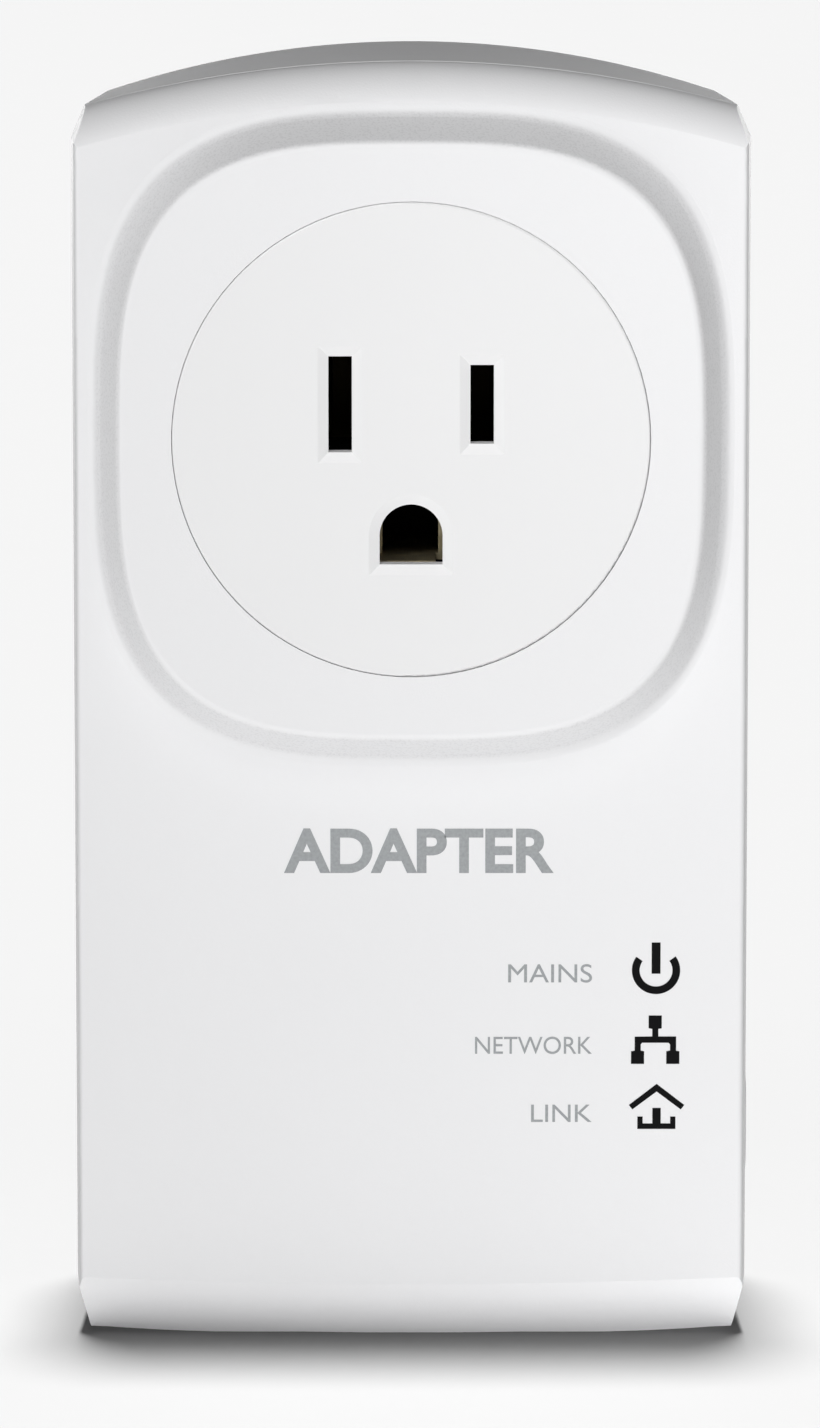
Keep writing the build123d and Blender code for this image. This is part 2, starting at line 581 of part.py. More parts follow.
with BuildPart() as ground_contact:
    left, right = GROUND_LEAF_XS
    floor_z, top_z = GROUND_LEAF_ZS
    with BuildSketch(facing(CONTACT_BACK)):
        with BuildLine():
            Polyline((left, top_z), (left, floor_z), (right, floor_z), (right, top_z))
        trace(line_width=SHEET_METAL)
    extrude(amount=GROUND_CONTACT_FRONT - CONTACT_BACK)
    half_sheet = SHEET_METAL / 2
    floor_zs = (floor_z - half_sheet, floor_z + half_sheet)
    block(GROUND_FLOOR_XS, (CONTACT_BACK, GROUND_FLOOR_FRONT), floor_zs)
    finger_depths = (CONTACT_BACK, GROUND_FINGER_FRONT)
    block((right - half_sheet, right + half_sheet), finger_depths, (GROUND_FINGER_FOOT_Z, top_z))
    tail_xs = (-BUSBAR_WIDTH / 2, BUSBAR_WIDTH / 2)
    tail_depths = (BUSBAR_BACK + BUSBAR_THICKNESS, CONTACT_BACK + SHEET_METAL)
    block(tail_xs, tail_depths, floor_zs)
save(ground_contact.part, "ground_contact")

# ---- the plug --------------------------------------------------------------------------------------
with BuildPart() as plug_carrier:
    with BuildSketch(facing(0)):
        with Locations((0, CARRIER_Z)):
            RectangleRounded(*CARRIER_SIZE, CARRIER_CORNER)
    extrude(amount=CARRIER_DEPTH)
    with BuildSketch(facing(WALL)):
        with Locations((0, CARRIER_Z)):
            RectangleRounded(*CARRIER_FLANGE, CARRIER_CORNER + WALL)
    extrude(amount=WALL)
    for x, height in ((-BLADE_X, NEUTRAL_BLADE), (BLADE_X, LINE_BLADE)):
        half_thickness = BLADE_THICKNESS / 2 + SNUG
        half_height = height / 2 + SNUG
        zs = (BLADE_Z - half_height, BLADE_Z + half_height)
        block((x - half_thickness, x + half_thickness), (0, CARRIER_DEPTH), zs, mode=Mode.SUBTRACT)
    rod(0, GROUND_Z, GROUND_SHANK_RADIUS + SNUG, (0, CARRIER_DEPTH), mode=Mode.SUBTRACT)
save(plug_carrier.part, "plug_carrier")


def plug_blade(x, height):
    """A flat blade with eased tip edges and the small hole that wall outlets detent on."""
    half_thickness = BLADE_THICKNESS / 2
    with BuildPart() as blade:
        xs = (x - half_thickness, x + half_thickness)
        block(xs, (-BLADE_REACH, BUSBAR_BACK), (BLADE_Z - height / 2, BLADE_Z + height / 2))
        chamfer(blade.faces().sort_by(Axis.Y)[-1].edges(), BLADE_TIP)
        with Locations((x, BLADE_HOLE_Y, BLADE_Z)):
            Cylinder(BLADE_HOLE_RADIUS, 2 * BLADE_THICKNESS, rotation=(0, 90, 0), mode=Mode.SUBTRACT)
    return blade.part


save(plug_blade(BLADE_X, LINE_BLADE), "line_blade")
save(plug_blade(-BLADE_X, NEUTRAL_BLADE), "neutral_blade")

with BuildPart() as ground_pin:
    rod(0, GROUND_Z, GROUND_PIN_RADIUS, (-GROUND_PIN_REACH, 0))
    fillet(ground_pin.edges().sort_by(Axis.Y)[-1], GROUND_PIN_TIP)
    rod(0, GROUND_Z, GROUND_SHANK_RADIUS, (0, BUSBAR_BACK))
save(ground_pin.part, "ground_pin")


def busbar(x, top_z):
    """A strip from the inner end of a plug pin down to the power board."""
    with BuildPart() as bar:
        xs = (x - BUSBAR_WIDTH / 2, x + BUSBAR_WIDTH / 2)
        front = BUSBAR_BACK + BUSBAR_THICKNESS
        block(xs, (BUSBAR_BACK, front), (BUSBAR_FOOT_Z, top_z))
        block(xs, (POWER_BOARD_FRONT, front), (BUSBAR_FOOT_Z, BUSBAR_FOOT_Z + BUSBAR_THICKNESS))
    return bar.part


save(busbar(BLADE_X, BLADE_Z + 2), "line_busbar")
save(busbar(-BLADE_X, BLADE_Z + 2), "neutral_busbar")
save(busbar(0, GROUND_Z + 2), "ground_busbar")

# ---- circuit boards and what stands on them --------------------------------------------------------


def board(back, notch_radius):
    """A circuit board with its lower corners cut round the casing's screw bosses."""
    front = back + BOARD_THICKNESS
    with BuildPart() as plate:
        block((-BOARD_HALF_WIDTH, BOARD_HALF_WIDTH), (back, front), (BOARD_FOOT_Z, BOARD_TOP_Z))
        for x, z in SCREW_SPOTS:
            if z < BOARD_TOP_Z:
                rod(x, z, notch_radius, (back, front), mode=Mode.SUBTRACT)
        for x, z in BOARD_SCREW_SPOTS:
            rod(x, z, SMALL_SCREW_RADIUS + SCREW_CLEARANCE, (back, front), mode=Mode.SUBTRACT)
    return plate.part


save(board(POWER_BOARD_BACK, WELL_RADIUS + WELL_WALL + 4 * LOOSE), "power_board")
save(board(COMMS_BOARD_BACK, BOSS_RADIUS + 6 * LOOSE), "comms_board")


def chip(xs, depths, zs):
    """A moulded component with eased edges on its outer face."""
    with BuildPart() as body:
        block(xs, depths, zs)
        chamfer(body.edges().filter_by(lambda e: lies_at(e, depths[1])), CHIP_EASE)
    return body.part


def can(spots, radius, depths):
    """Round cans standing on a board."""
    with BuildPart() as cans:
        for x, z in spots:
            rod(x, z, radius, depths)
        fillet(cans.edges().filter_by(lambda e: lies_at(e, depths[1])), CAN_EASE)
    return cans.part


for name, (spots, radius, height) in CANS.items():
    save(can(spots, radius, (POWER_BOARD_FRONT, POWER_BOARD_FRONT + height)), name)

for name, (xs, height, zs) in POWER_BLOCKS.items():
    save(chip(xs, (POWER_BOARD_FRONT, POWER_BOARD_FRONT + height), zs), name)

for name, (xs, height, zs) in COMMS_BLOCKS.items():
    save(chip(xs, (COMMS_BOARD_FRONT, COMMS_BOARD_FRONT + height), zs), name)

with BuildPart() as varistor:
    with Locations((VARISTOR_X, -(POWER_BOARD_FRONT + VARISTOR_RISE), VARISTOR_Z)):
        Cylinder(VARISTOR_RADIUS, VARISTOR_THICKNESS)
    fillet(varistor.edges().filter_by(GeomType.CIRCLE), VARISTOR_THICKNESS / 3)
    for x in (VARISTOR_X - VARISTOR_LEG_SPACING / 2, VARISTOR_X + VARISTOR_LEG_SPACING / 2):
        rod(x, VARISTOR_Z, LEG_RADIUS, (POWER_BOARD_FRONT, POWER_BOARD_FRONT + VARISTOR_RISE))
save(varistor.part, "varistor")

with BuildPart() as choke_core:
    rod(0, CHOKE_Z, CHOKE_RADII[1], CHOKE_DEPTHS)
    rod(0, CHOKE_Z, CHOKE_RADII[0], CHOKE_DEPTHS, mode=Mode.SUBTRACT)
save(choke_core.part, "choke_core")

with BuildPart() as choke_windings:
    inner, outer = CHOKE_RADII
    front = CHOKE_DEPTHS[1] + CHOKE_WIRE
    zs = (CHOKE_Z - inner, CHOKE_Z + inner)
    block((-outer - CHOKE_WIRE, outer + CHOKE_WIRE), (POWER_BOARD_FRONT, front), zs)
    core_depths = (CHOKE_DEPTHS[0] - LOOSE, CHOKE_DEPTHS[1] + LOOSE)
    rod(0, CHOKE_Z, outer + LOOSE, core_depths, mode=Mode.SUBTRACT)
    rod(0, CHOKE_Z, inner - LOOSE, core_depths)
    block((-CHOKE_WIRE, CHOKE_WIRE), (POWER_BOARD_FRONT - 1, front + 1), zs, mode=Mode.SUBTRACT)
save(choke_windings.part, "choke_windings")

# The transformer's core is a block with two windows, and its coil fills them round the middle leg.
core_middle = sum(CORE_XS) / 2
leg_xs = (core_middle - CORE_LEG / 2, core_middle + CORE_LEG / 2)
window_depths = (CORE_DEPTHS[0] + CORE_YOKE, CORE_DEPTHS[1] - CORE_YOKE)
left_window = (leg_xs[0] - CORE_WINDOW, leg_xs[0])
right_window = (leg_xs[1], leg_xs[1] + CORE_WINDOW)

with BuildPart() as transformer_core:
    block(CORE_XS, CORE_DEPTHS, CORE_ZS)
    for window_xs in (left_window, right_window):
        block(window_xs, window_depths, CORE_ZS, mode=Mode.SUBTRACT)
save(transformer_core.part, "transformer_core")

with BuildPart() as transformer_coil:
    coil_front = window_depths[1] - LOOSE
    coil_zs = (CORE_ZS[0] - COIL_OVERHANG, CORE_ZS[1] + COIL_OVERHANG)
    within = (CORE_ZS[0] - LOOSE, CORE_ZS[1] + LOOSE)
    coil_xs = (left_window[0] + LOOSE, right_window[1] - LOOSE)
    block(coil_xs, (POWER_BOARD_FRONT, coil_front), coil_zs)
    block(CORE_XS, (POWER_BOARD_FRONT, window_depths[0] + LOOSE), within, mode=Mode.SUBTRACT)
    leg_room = (leg_xs[0] - LOOSE, leg_xs[1] + LOOSE)
    block(leg_room, (POWER_BOARD_FRONT, coil_front), within, mode=Mode.SUBTRACT)
save(transformer_coil.part, "transformer_coil")

with BuildPart() as board_header:
    block(HEADER_XS, (POWER_BOARD_FRONT, COMMS_BOARD_BACK), HEADER_ZS)
save(board_header.part, "board_header")

with BuildPart() as heat_sink:
    chip_xs, chip_height, chip_zs = COMMS_BLOCKS["processor_chip"]
    sink_back = COMMS_BOARD_FRONT + chip_height
    sink_front = sink_back + HEAT_SINK_HEIGHT
    sink_xs = (chip_xs[0] - 1, chip_xs[1] + 1)
    sink_zs = (chip_zs[0] - 1, chip_zs[1] + 1)
    block(sink_xs, (sink_back, sink_front), sink_zs)
    for i in range(HEAT_SINK_GROOVES):
        groove_x = sink_xs[0] + HEAT_SINK_FIN * (2 * i + 1)
        groove_xs = (groove_x, groove_x + HEAT_SINK_FIN)
        block(groove_xs, (sink_back + HEAT_SINK_FIN / 2, sink_front), sink_zs, mode=Mode.SUBTRACT)
save(heat_sink.part, "heat_sink")

with BuildPart() as insulation_sheet:
    block(SHEET_XS, SHEET_DEPTHS, (JACK_TOP_Z + 1, SHEET_TOP_Z))
save(insulation_sheet.part, "insulation_sheet")

# ---- status lights ---------------------------------------------------------------------------------
with BuildPart() as status_leds:
    half_x, half_z = LED_HALF
    for z in SYMBOL_ZS:
        led_xs = (SYMBOL_X - half_x, SYMBOL_X + half_x)
        block(led_xs, (COMMS_BOARD_FRONT, LED_FRONT), (z - half_z, z + half_z))
save(status_leds.part, "status_leds")

with BuildPart() as light_guide:
    for z in SYMBOL_ZS:
        rod(SYMBOL_X, z, LIGHT_RADIUS, (LED_FRONT + LOOSE, LIGHT_FRONT))
    bar_xs = (SYMBOL_X - LIGHT_RADIUS / 2, SYMBOL_X + LIGHT_RADIUS / 2)
    block(bar_xs, LIGHT_BAR_DEPTHS, (SYMBOL_ZS[-1], SYMBOL_ZS[0]))
save(light_guide.part, "light_guide")

# ---- network jack ----------------------------------------------------------------------------------
with BuildPart() as jack_shell:
    shell_xs = (-JACK_HALF_WIDTH, JACK_HALF_WIDTH)
    block(shell_xs, (JACK_BACK, JACK_FRONT), (JACK_FOOT_Z, JACK_TOP_Z))
    inner_half = JACK_HALF_WIDTH - JACK_SHEET
    inner_zs = (JACK_FOOT_Z, JACK_TOP_Z - JACK_SHEET)
    block((-inner_half, inner_half), (JACK_BACK + JACK_SHEET, JACK_FRONT), inner_zs, mode=Mode.SUBTRACT)
save(jack_shell.part, "jack_shell")

with BuildPart() as jack_body:
    body_half = JACK_HALF_WIDTH - JACK_SHEET - SNUG
    body_depths = (JACK_BACK + JACK_SHEET + SNUG, JACK_FRONT)
    block((-body_half, body_half), body_depths, (JACK_FOOT_Z, JACK_TOP_Z - JACK_SHEET - SNUG))
    mouth_zs = (JACK_FOOT_Z, PLUG_TOP_Z)
    block((-PLUG_HALF_WIDTH, PLUG_HALF_WIDTH), (PLUG_BACK, PLUG_FRONT), mouth_zs, mode=Mode.SUBTRACT)
    for half_width, reach in LATCH_STEPS:
        block((-half_width, half_width), (PLUG_BACK - reach, PLUG_BACK), mouth_zs, mode=Mode.SUBTRACT)
    comb_zs = (JACK_FOOT_Z + COMB_RISE, PLUG_TOP_Z)
    comb_xs = (-4.5 * JACK_PITCH, 4.5 * JACK_PITCH)
    block(comb_xs, (PLUG_FRONT, PLUG_FRONT + COMB_DEPTH), comb_zs, mode=Mode.SUBTRACT)
save(jack_body.part, "jack_body")

with BuildPart() as jack_contacts:
    wall_y = -(PLUG_FRONT + COMB_DEPTH - JACK_WIRE / 2)
    wire_zs = [JACK_FOOT_Z + COMB_RISE + rise for rise in WIRE_RISES]
    with BuildSketch(Plane.YZ.offset(-3.5 * JACK_PITCH - JACK_WIRE / 2)) as wire:
        with BuildLine():
            Polyline((wall_y, wire_zs[0]), (wall_y, wire_zs[1]), (wall_y + WIRE_LEAN, wire_zs[2]))
        trace(line_width=JACK_WIRE)
    for i in range(8):
        extrude(Pos(i * JACK_PITCH, 0, 0) * wire.sketch, amount=JACK_WIRE)
save(jack_contacts.part, "jack_contacts")

# ---- pair button and reset switch ------------------------------------------------------------------
with BuildPart() as pair_button:
    with BuildSketch(Plane.YZ.offset(BUTTON_FLANGE_XS[0])):
        with Locations((-BUTTON_DEPTH, BUTTON_Z)):
            SlotOverall(*BUTTON_SIZE, rotation=90)
    extrude(amount=BUTTON_FACE_X - BUTTON_FLANGE_XS[0])
    fillet(pair_button.faces().sort_by(Axis.X)[-1].edges(), BUTTON_EDGE_RADIUS)
    with BuildSketch(Plane.YZ.offset(BUTTON_FLANGE_XS[0])):
        with Locations((-BUTTON_DEPTH, BUTTON_Z)):
            SlotOverall(*BUTTON_FLANGE, rotation=90)
    extrude(amount=BUTTON_FLANGE_XS[1] - BUTTON_FLANGE_XS[0])
    with BuildSketch(Plane.YZ.offset(PLUNGER_TIP_X)):
        with Locations((-BUTTON_DEPTH, BUTTON_Z)):
            Circle(PLUNGER_RADIUS)
    extrude(amount=BUTTON_FLANGE_XS[0] - PLUNGER_TIP_X)
save(pair_button.part, "pair_button")

with BuildPart() as pair_switch:
    block(PAIR_SWITCH_XS, SWITCH_DEPTHS, (BUTTON_Z - SWITCH_HALF, BUTTON_Z + SWITCH_HALF))
    hole_depth = PLUNGER_REACH + PLUNGER_ROOM
    with Locations((PAIR_SWITCH_XS[1] - hole_depth / 2, -BUTTON_DEPTH, BUTTON_Z)):
        Cylinder(PLUNGER_RADIUS + LOOSE, hole_depth, rotation=(0, 90, 0), mode=Mode.SUBTRACT)
save(pair_switch.part, "pair_switch")

with BuildPart() as pair_switch_plunger:
    plunger_length = PLUNGER_TIP_X - PAIR_SWITCH_XS[1] + PLUNGER_REACH
    with Locations((PLUNGER_TIP_X - plunger_length / 2, -BUTTON_DEPTH, BUTTON_Z)):
        Cylinder(PLUNGER_RADIUS, plunger_length, rotation=(0, 90, 0))
save(pair_switch_plunger.part, "pair_switch_plunger")

with BuildPart() as reset_switch:
    block((RESET_X - RESET_HALF_WIDTH, RESET_X + RESET_HALF_WIDTH), SWITCH_DEPTHS, RESET_SWITCH_ZS)
    with Locations((RESET_X, -BUTTON_DEPTH, RESET_SWITCH_ZS[0] + hole_depth / 2)):
        Cylinder(PLUNGER_RADIUS + LOOSE, hole_depth, mode=Mode.SUBTRACT)
save(reset_switch.part, "reset_switch")

with BuildPart() as reset_switch_plunger:
    with Locations((RESET_X, -BUTTON_DEPTH, RESET_SWITCH_ZS[0])):
        Cylinder(PLUNGER_RADIUS, 2 * PLUNGER_REACH)
save(reset_switch_plunger.part, "reset_switch_plunger")

# ---- screws and label ------------------------------------------------------------------------------
with BuildPart() as casing_screws:
    for x, z in SCREW_SPOTS:
        screw(x, z, SCREW_RADIUS, SCREW_HEAD_RADIUS, WELL_DEPTH, SCREW_TIP)
save(casing_screws.part, "casing_screws")

with BuildPart() as outlet_screws:
    for x, z in posts:
        screw(x, z, SMALL_SCREW_RADIUS, SMALL_HEAD_RADIUS, HOUSING_PLATE_BACK, OUTLET_SCREW_TIP)
save(outlet_screws.part, "outlet_screws")

with BuildPart() as power_board_screws:
    for x, z in BOARD_SCREW_SPOTS:
        screw(x, z, SMALL_SCREW_RADIUS, SMALL_HEAD_RADIUS, POWER_BOARD_FRONT, POWER_BOARD_BACK - 3)
save(power_board_screws.part, "power_board_screws")

with BuildPart() as comms_board_screws:
    for x, z in BOARD_SCREW_SPOTS:
        screw(x, z, SMALL_SCREW_RADIUS, SMALL_HEAD_RADIUS, COMMS_BOARD_BACK, COMMS_BOARD_FRONT + 3)
save(comms_board_screws.part, "comms_board_screws")

with BuildPart() as rating_label:
    label_xs = (LABEL_XS[0] + LOOSE, LABEL_XS[1] - LOOSE)
    label_zs = (LABEL_ZS[0] + LOOSE, LABEL_ZS[1] - LOOSE)
    block(label_xs, (LABEL_RECESS - LABEL_THICKNESS, LABEL_RECESS), label_zs)
save(rating_label.part, "rating_label")
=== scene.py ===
"""Looks of the powerline adapter: materials, printed marks, studio and camera."""

import json
import math

import bmesh
import bpy
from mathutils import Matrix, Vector


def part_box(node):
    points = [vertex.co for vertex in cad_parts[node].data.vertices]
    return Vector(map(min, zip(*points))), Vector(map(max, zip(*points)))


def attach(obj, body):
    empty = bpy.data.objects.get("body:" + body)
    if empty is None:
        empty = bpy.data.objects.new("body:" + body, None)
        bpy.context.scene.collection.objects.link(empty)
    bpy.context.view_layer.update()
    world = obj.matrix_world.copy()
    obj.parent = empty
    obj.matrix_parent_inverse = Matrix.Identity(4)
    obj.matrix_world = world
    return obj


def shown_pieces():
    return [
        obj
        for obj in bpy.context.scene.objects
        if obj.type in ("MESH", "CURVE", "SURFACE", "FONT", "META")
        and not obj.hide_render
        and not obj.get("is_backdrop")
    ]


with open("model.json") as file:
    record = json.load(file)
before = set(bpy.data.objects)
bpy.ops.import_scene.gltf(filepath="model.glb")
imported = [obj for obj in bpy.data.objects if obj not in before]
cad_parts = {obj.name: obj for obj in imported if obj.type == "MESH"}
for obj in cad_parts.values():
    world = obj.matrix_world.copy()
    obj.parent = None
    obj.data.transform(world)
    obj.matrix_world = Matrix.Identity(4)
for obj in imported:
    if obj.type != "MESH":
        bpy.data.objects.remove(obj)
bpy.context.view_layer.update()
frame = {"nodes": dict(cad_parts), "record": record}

MM = 0.001
ROOT = "adapter"  # the body that the printed marks ride on
BASE_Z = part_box("front_cover")[0].z
FRONT_Y = -32.0 * MM  # the cover's flat front
PRINT_RISE = 0.02 * MM  # thickness of the printed marks

# ---------------------------------------------------------------------------- material kit
WAVE_RATE = 20.0  # radians per metre of the wave texture at scale 1
MIX_FACTOR, MIX_FIRST, MIX_SECOND, MIX_RESULT = 0, 6, 7, 2  # the mix node's sockets for colours


class Shader:
    """A material's node tree, with short helpers for building it."""

    def __init__(self, name):
        self.material = bpy.data.materials.new(name)
        self.material.use_nodes = True
        self.tree = self.material.node_tree
        self.tree.nodes.clear()
        self.bsdf = self.add("ShaderNodeBsdfPrincipled")
        output = self.add("ShaderNodeOutputMaterial")
        self.link(self.bsdf.outputs["BSDF"], output.inputs["Surface"])
        self.place = self.add("ShaderNodeTexCoord").outputs["Object"]

    def add(self, kind, **settings):
        node = self.tree.nodes.new(kind)
        for key, value in settings.items():
            setattr(node, key, value)
        return node

    def link(self, start, end):
        self.tree.links.new(start, end)

    def feed(self, socket, value):
        """Puts a number, a colour or another node's output into a socket."""
        if isinstance(value, bpy.types.NodeSocket):
            self.link(value, socket)
        elif isinstance(value, tuple) and len(value) == 3 and socket.type == "RGBA":
            socket.default_value = (*value, 1.0)
        else:
            socket.default_value = value

    def math(self, operation, *values):
        node = self.add("ShaderNodeMath", operation=operation)
        for socket, value in zip(node.inputs, values):
            self.feed(socket, value)
        return node.outputs["Value"]

    def split(self, vector):
        """The three outputs X, Y and Z of a vector."""
        parts = self.add("ShaderNodeSeparateXYZ")
        self.link(vector, parts.inputs["Vector"])
        return parts.outputs

    def stretched(self, stretch):
        mapping = self.add("ShaderNodeMapping")
        mapping.inputs["Scale"].default_value = stretch
        self.link(self.place, mapping.inputs["Vector"])
        return mapping.outputs["Vector"]

    def noise(self, scale, detail=3.0, roughness=0.55, stretch=(1, 1, 1)):
        """Noise over the object; scale is in features per metre."""
        noise = self.add("ShaderNodeTexNoise")
        noise.inputs["Scale"].default_value = scale
        noise.inputs["Detail"].default_value = detail
        noise.inputs["Roughness"].default_value = roughness
        self.link(self.stretched(stretch), noise.inputs["Vector"])
        return noise.outputs["Fac"]

    def bands(self, scale, direction, distortion):
        """Parallel bands over the object; scale is in bands per metre."""
        wave = self.add("ShaderNodeTexWave", bands_direction=direction)
        wave.inputs["Scale"].default_value = scale / WAVE_RATE * 2 * math.pi
        wave.inputs["Distortion"].default_value = distortion
        self.link(self.place, wave.inputs["Vector"])
        return wave.outputs["Fac"]

    def spread(self, value, low, high, start=0.3, end=0.7):
        """Maps start..end of a value, by default the middle of a noise, onto low..high."""
        remap = self.add("ShaderNodeMapRange")
        limits = {"From Min": start, "From Max": end, "To Min": low, "To Max": high}
        for name, number in limits.items():
            remap.inputs[name].default_value = number
        self.link(value, remap.inputs["Value"])
        return remap.outputs["Result"]

    def mix(self, value, first, second):
        """Blends two colours by a value."""
        mix = self.add("ShaderNodeMix", data_type="RGBA")
        self.feed(mix.inputs[MIX_FACTOR], value)
        self.feed(mix.inputs[MIX_FIRST], first)
        self.feed(mix.inputs[MIX_SECOND], second)
        return mix.outputs[MIX_RESULT]

    def tint(self, value, colour, low, high):
        """A colour that a value takes from low to high times as light."""
        return self.mix(value, tinted(colour, low), tinted(colour, high))

    def bump(self, value, depth, after=None):
        """Relief of a depth in millimetres, on top of another relief if there is one."""
        bump = self.add("ShaderNodeBump")
        bump.inputs["Strength"].default_value = 1.0
        bump.inputs["Distance"].default_value = depth * MM
        self.link(value, bump.inputs["Height"])
        if after is not None:
            self.link(after, bump.inputs["Normal"])
        return bump.outputs["Normal"]

    def wear(self, **values):
        """Sets the surface shader's sockets by name, with _ for a space."""
        for key, value in values.items():
            self.feed(self.bsdf.inputs[key.replace("_", " ")], value)
        return self.material


def tinted(colour, factor):
    return tuple(min(1.0, channel * factor) for channel in colour)


# In the makers below roughness is a pair, from and to, a noise's scale and grain are in features
# per metre, and depth and pitch are in millimetres.
def plain(name, colour, drift, roughness, grain, depth, gloss=0.5):
    """A moulded or coated surface: its colour drifts, and a fine grain breaks its gloss."""
    shader = Shader(name)
    cloud = shader.noise(scale=60.0)
    fine = shader.noise(scale=grain, detail=2.0)
    return shader.wear(
        Base_Color=shader.tint(cloud, colour, 1 - drift, 1 + drift),
        Roughness=shader.spread(fine, *roughness),
        Normal=shader.bump(fine, depth),
        Specular_IOR_Level=gloss,
    )


def moulded_white(name, colour, roughness, depth, painted_side_shade=1.0, painted_wall_shade=1.0):
    """White moulding with a fine spark-eroded grain.

    Painted shade: what faces sideways is painted the side factor times as light. Where the
    surface slopes and stands in front of the cover's flat, as the wall round the pad does, the
    grain is coarser, with a random mottle, and painted shade makes the colour the wall factor
    times as light.
    """
    shader = Shader(name)
    cloud = shader.noise(scale=45.0, detail=4.0)
    speck = shader.noise(scale=9000.0, detail=1.0)
    fine = shader.noise(scale=4200.0, detail=3.0, roughness=0.6)
    height = shader.bump(fine, depth)
    lean = shader.split(shader.add("ShaderNodeTexCoord").outputs["Normal"])
    smooth = shader.tint(cloud, colour, 0.988, 1.008)
    # Painted shade: the more a surface faces sideways, the darker it is painted.
    sideways = shader.spread(shader.math("ABSOLUTE", lean["X"]), 0.0, 1.0, start=0.3, end=0.8)
    shade = shader.mix(sideways, smooth, tinted(colour, painted_side_shade))
    if painted_wall_shade < 1.0:
        wall = sloping_wall(shader, lean)
        coarse = shader.noise(scale=4600.0, detail=1.0)
        mottle = shader.spread(coarse, 0.0, 1.0, start=0.35, end=0.5)
        # The mottle is the coarser grain's random tone; the overall darkening of the wall is
        # painted shade.
        shaded = shader.tint(mottle, colour, 0.92 * painted_wall_shade, painted_wall_shade)
        shade = shader.mix(wall, shade, shaded)
        height = shader.bump(coarse, 0.012, after=height)
    return shader.wear(
        Base_Color=shade,
        Roughness=shader.spread(speck, *roughness),
        Normal=height,
    )


def sloping_wall(shader, lean):
    """1 where the surface stands in front of the cover's flat and slopes, 0 elsewhere."""
    depth = shader.split(shader.place)["Y"]
    proud = shader.spread(depth, 1.0, 0.0, start=FRONT_Y - 0.25 * MM, end=FRONT_Y - 0.05 * MM)
    facing = shader.math("ABSOLUTE", lean["Y"])
    slope = shader.spread(facing, 1.0, 0.0, start=0.7, end=0.95)
    return shader.math("MULTIPLY", proud, slope)


def metal(name, colour, roughness, stretch=(1, 1, 1), depth=0.002, tarnish=0.8):
    """Plated or drawn metal: fine lines in one direction, and patches tarnish times as light."""
    shader = Shader(name)
    film = shader.noise(scale=260.0, detail=5.0, roughness=0.65)
    lines = shader.noise(scale=9000.0, detail=2.0, stretch=stretch)
    dull = shader.spread(film, -0.05, 0.09)
    return shader.wear(
        Base_Color=shader.tint(shader.spread(film, 0.0, 1.0), colour, tarnish, 1.0),
        Roughness=shader.math("ADD", shader.spread(lines, *roughness), dull),
        Normal=shader.bump(lines, depth),
        Metallic=1.0,
    )


def wound(name, colour, gap, pitch, direction, roughness, depth):
    """Turns of wire or tape side by side, gap being the colour between them."""
    shader = Shader(name)
    turns = shader.bands(1 / (pitch * MM), direction, distortion=0.4)
    film = shader.noise(scale=300.0)
    turned = shader.mix(shader.spread(turns, 0.0, 1.0, start=0.1, end=0.5), gap, colour)
    return shader.wear(
        Base_Color=shader.mix(shader.spread(film, 0.0, 0.25), turned, gap),
        Roughness=shader.spread(film, *roughness),
        Normal=shader.bump(turns, depth),
    )


def board_mask(name):
    """Green solder mask over copper tracks, which show as lighter raised lines."""
    shader = Shader(name)
    tracks = shader.add("ShaderNodeTexBrick", offset=0.35)
    sizes = {"Mortar Size": 0.35, "Brick Width": 7.0, "Row Height": 1.9}
    for name, number in sizes.items():
        tracks.inputs[name].default_value = number * MM
    tracks.inputs["Scale"].default_value = 1.0
    turn = shader.add("ShaderNodeMapping")
    turn.inputs["Rotation"].default_value = (math.pi / 2, 0, 0)
    shader.link(shader.place, turn.inputs["Vector"])
    shader.link(turn.outputs["Vector"], tracks.inputs["Vector"])
    line = tracks.outputs["Fac"]
    cloud = shader.noise(scale=150.0)
    mask = shader.mix(cloud, (0.012, 0.085, 0.032), (0.02, 0.125, 0.05))
    return shader.wear(
        Base_Color=shader.mix(line, mask, (0.04, 0.2, 0.075)),
        Roughness=shader.spread(shader.noise(scale=1500.0), 0.26, 0.38),
        Normal=shader.bump(line, 0.035),
    )


def pressed_paper(name, colour):
    """Label stock: fibres, a faint mottle and a satin varnish."""
    shader = Shader(name)
    fibre = shader.noise(scale=1600.0, detail=4.0, stretch=(1, 1, 3))
    mottle = shader.noise(scale=90.0)
    return shader.wear(
        Base_Color=shader.tint(mottle, colour, 0.95, 1.03),
        Roughness=shader.spread(fibre, 0.38, 0.52),
        Normal=shader.bump(fibre, 0.006),
    )


def ink(name, colour, gloss):
    """Pad-printed ink: a thin film with tiny voids."""
    shader = Shader(name)
    film = shader.noise(scale=3500.0, detail=2.0)
    return shader.wear(
        Base_Color=shader.tint(shader.spread(film, 0.0, 1.0), colour, 0.9, 1.1),
        Roughness=shader.spread(film, 0.5, 0.65),
        Normal=shader.bump(film, 0.003),
        Specular_IOR_Level=gloss,
    )


# ---------------------------------------------------------------------------- materials by slot
WHITE = (0.862, 0.862, 0.872)
# Painted shade: how many times as light white is painted where it faces sideways, and on the pad's
# sloping wall.
PAINTED_SIDE_SHADE = 0.78
PAINTED_WALL_SHADE = 0.92
# Stretches of a noise that draw it out into lines along one axis.
ALONG_WIDTH = (0.03, 1, 1)
ALONG_DEPTH = (1, 0.03, 1)
UPRIGHT = (1, 1, 0.03)

